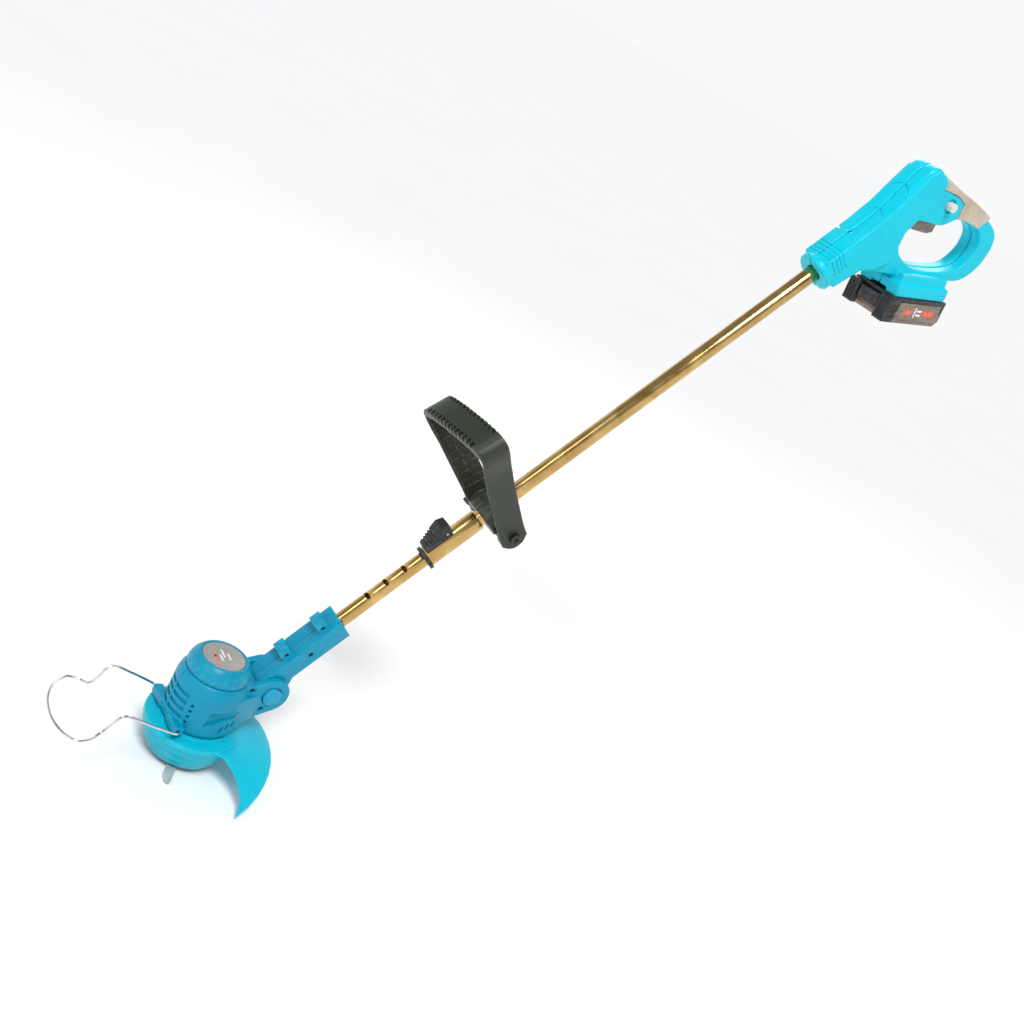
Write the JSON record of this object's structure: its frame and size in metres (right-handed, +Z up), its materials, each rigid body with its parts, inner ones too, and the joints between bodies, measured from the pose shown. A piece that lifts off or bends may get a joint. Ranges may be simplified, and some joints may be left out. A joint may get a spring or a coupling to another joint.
{
  "type": "string trimmer",
  "caption": "Cordless string trimmer: tilting cutter head with guards, telescopic shaft, loop handle, trigger handle and slide-on battery.",
  "frame": {"origin": "on the ground under the spindle, at the bottom of the cutter nut", "axes": "+Z up along the spindle, +X towards the operator, +Y to the operator's left looking back along the shaft; the shaft rises 55 degrees above XY"},
  "size_m": [1.0324, 0.2024, 1.0123],
  "materials": {
    "teal_plastic": "moulded satin-gloss plastic, fine texture",
    "dark_teal_plastic": "moulded satin plastic",
    "black_plastic": "moulded satin plastic",
    "olive_plastic": "moulded satin plastic with a soft sheen",
    "bronze_plastic": "moulded grey-brown plastic",
    "grip_rubber": "soft ribbed overmould, matte",
    "badge_grey": "printed disc, plain",
    "pale_plastic": "smooth",
    "cutter_plastic": "semi-clear nylon",
    "cell_wrap": "shrink sleeve",
    "gold_tube": "polished, gold toned",
    "chrome_wire": "polished wire",
    "black_steel": "blackened",
    "steel": "machined"
  },
  "bodies": {
    "handle": {"handle_shell_left": "teal_plastic", "handle_shell_right": "teal_plastic", "grip_overmold": "grip_rubber", "terminal_block": "black_plastic", "main_tube": "gold_tube", "tube_sleeve": "gold_tube", "sleeve_collar": "black_plastic", "lever_pin": "steel", "clamp_base": "olive_plastic", "clamp_cap": "olive_plastic", "clamp_bolt": "steel", "trigger_spring": "steel", "handle_screw_1": "black_steel", "handle_screw_2": "black_steel", "handle_screw_3": "black_steel", "handle_screw_4": "black_steel"},
    "lower_shaft": {"lower_tube": "gold_tube", "neck_shell_left": "teal_plastic", "neck_shell_right": "teal_plastic", "neck_screw_1": "black_steel", "neck_screw_2": "black_steel", "tube_cross_pin": "black_steel"},
    "head": {"motor_housing_left": "teal_plastic", "motor_housing_right": "teal_plastic", "motor_cap": "teal_plastic", "cap_badge": "badge_grey", "motor_can": "steel", "spindle_bearing": "steel", "pivot_pin": "steel", "pivot_cap": "dark_teal_plastic", "housing_screw_1": "black_steel", "housing_screw_2": "black_steel", "blade_guard": "teal_plastic"},
    "cutter": {"spindle": "steel", "cutter_disc": "dark_teal_plastic", "disc_nut": "steel", "blade_pin": "steel"},
    "blade": {"cutting_blade": "cutter_plastic"},
    "wire_guard": {"wire_guard": "chrome_wire"},
    "tilt_button": {"tilt_button": "dark_teal_plastic"},
    "latch": {"latch_lever": "black_plastic"},
    "loop": {"loop_handle": "olive_plastic"},
    "knob": {"wing_knob": "black_plastic"},
    "trigger": {"trigger": "bronze_plastic"},
    "lock": {"lock_button": "pale_plastic"},
    "battery": {"battery_case_lower": "bronze_plastic", "battery_case_upper": "black_plastic", "battery_bumper_left": "black_plastic", "battery_bumper_right": "black_plastic", "battery_label_left": "bronze_plastic", "battery_label_right": "bronze_plastic", "battery_cell_1": "cell_wrap", "battery_cell_2": "cell_wrap", "battery_cell_3": "cell_wrap", "battery_cell_4": "cell_wrap", "battery_cell_5": "cell_wrap"},
    "release": {"battery_release": "black_plastic"}
  },
  "joints": [
    {"name": "telescope_slide", "type": "slide", "parent": "handle", "child": "lower_shaft", "axis": [0.5736, 0, 0.8192], "range_m": [0, 0.112]},
    {"name": "head_tilt", "type": "hinge", "parent": "lower_shaft", "child": "head", "pos_m": [0.07, 0, 0.11], "axis": [0, 1, 0], "range_deg": [-40, 35]},
    {"name": "cutter_spin", "type": "hinge", "parent": "head", "child": "cutter", "pos_m": [0, 0, 0.02], "axis": [0, 0, 1], "continuous": true},
    {"name": "blade_swing", "type": "hinge", "parent": "cutter", "child": "blade", "pos_m": [-0.01342, -0.0199, 0.004], "axis": [0, 0, 1], "range_deg": [-60, 60]},
    {"name": "wire_guard_flip", "type": "hinge", "parent": "head", "child": "wire_guard", "pos_m": [-0.04, 0, 0.062], "axis": [0, 1, 0], "range_deg": [0, 70]},
    {"name": "tilt_button_press", "type": "slide", "parent": "head", "child": "tilt_button", "axis": [0, 1, 0], "range_m": [0, 0.004], "stiffness_N_per_m": 800},
    {"name": "latch_lever_lift", "type": "hinge", "parent": "handle", "child": "latch", "pos_m": [0.21283, 0, 0.36279], "axis": [0, 1, 0], "range_deg": [0, 15], "stiffness_Nm_per_rad": 0.5},
    {"name": "loop_handle_tilt", "type": "hinge", "parent": "handle", "child": "loop", "pos_m": [0.28066, 0, 0.39343], "axis": [0, 1, 0], "range_deg": [-25, 25]},
    {"name": "wing_knob_turn", "type": "hinge", "parent": "handle", "child": "knob", "pos_m": [0.28066, 0.055, 0.39343], "axis": [0, 1, 0], "continuous": true},
    {"name": "trigger_press", "type": "slide", "parent": "handle", "child": "trigger", "axis": [-0.1219, 0, 0.9925], "range_m": [0, 0.006], "stiffness_N_per_m": 600, "deforming": ["trigger_spring"]},
    {"name": "lock_button_press", "type": "slide", "parent": "handle", "child": "lock", "axis": [0, 1, 0], "range_m": [-0.003, 0.003], "stiffness_N_per_m": 600},
    {"name": "battery_slide", "type": "slide", "parent": "handle", "child": "battery", "axis": [-0.9816, 0, -0.1908], "range_m": [0, 0.08]},
    {"name": "battery_release_press", "type": "slide", "parent": "battery", "child": "release", "axis": [0.9816, 0, 0.1908], "range_m": [0, 0.0025], "stiffness_N_per_m": 600}
  ]
}
